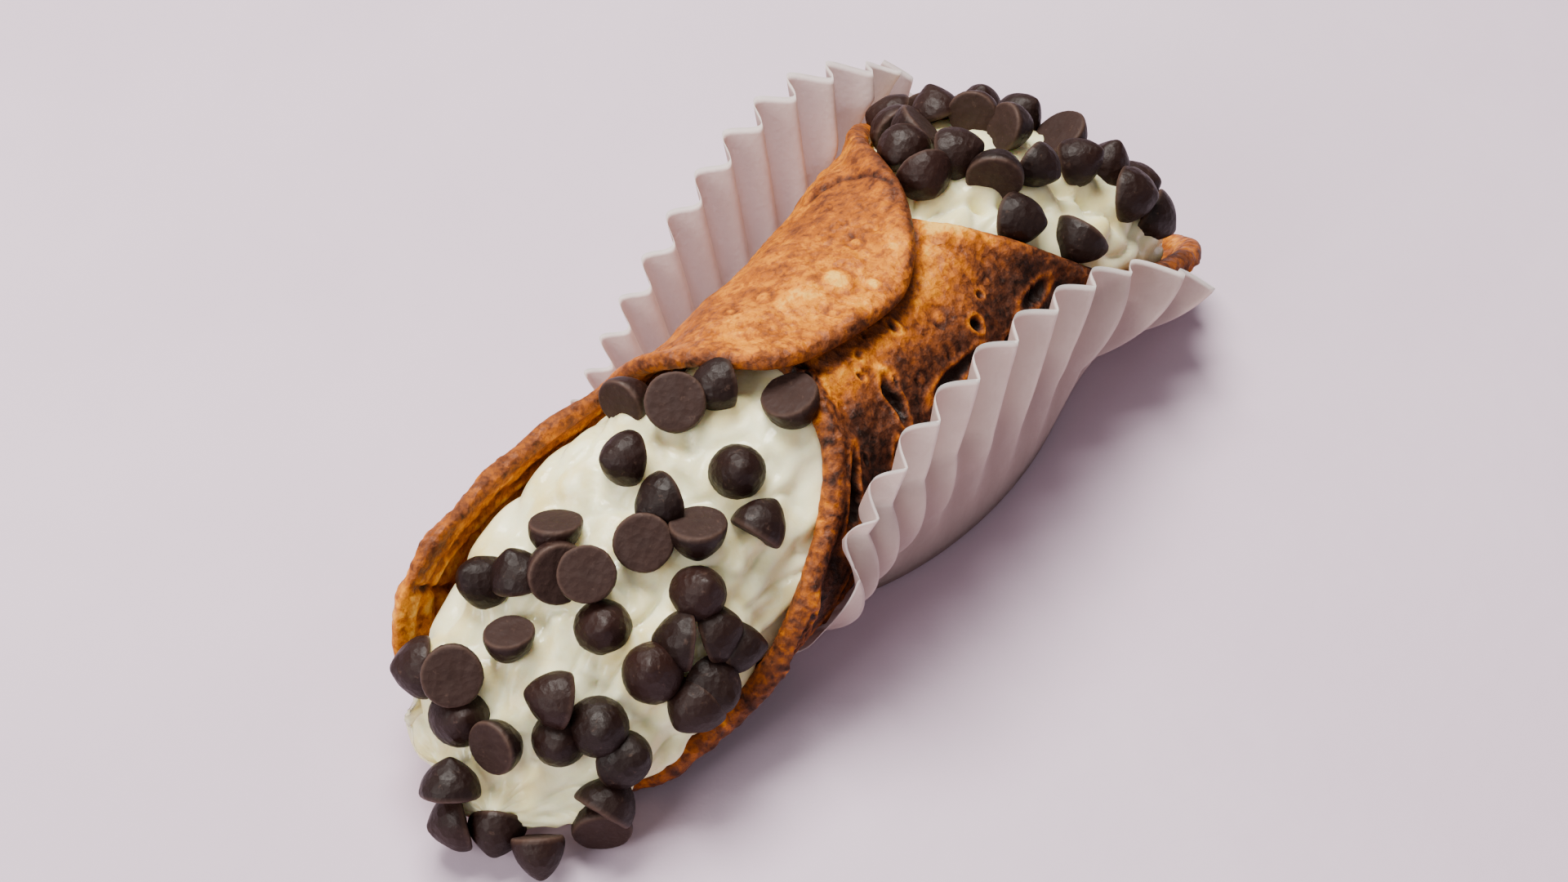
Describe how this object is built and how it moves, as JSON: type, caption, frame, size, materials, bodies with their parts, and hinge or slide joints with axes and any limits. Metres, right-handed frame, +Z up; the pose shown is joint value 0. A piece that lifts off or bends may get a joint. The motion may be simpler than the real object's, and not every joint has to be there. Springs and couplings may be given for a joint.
{
  "type": "filled cannolo in a paper case",
  "caption": "Fried pastry tube with a lapped flap, filled with cream that swells from both mouths under chocolate chips, lying in a fluted paper case.",
  "frame": {"origin": "on the paper case's flat underside, below the middle of the pastry", "axes": "+X along the pastry from its lower front mouth to its back mouth, +Y to its left side, +Z up"},
  "size_m": [0.1268, 0.0538, 0.037],
  "materials": {
    "dough": "matte fried crust with a slight oily sheen, golden on the flap and darker and blistered on the right side",
    "cream": "soft moist sheen",
    "chocolate": "satin peaks and matte flat bases",
    "paper": "thin translucent greaseproof paper"
  },
  "bodies": {
    "root": {"shell": "dough", "filling": "cream", "paper_case": "paper"}
  },
  "joints": []
}
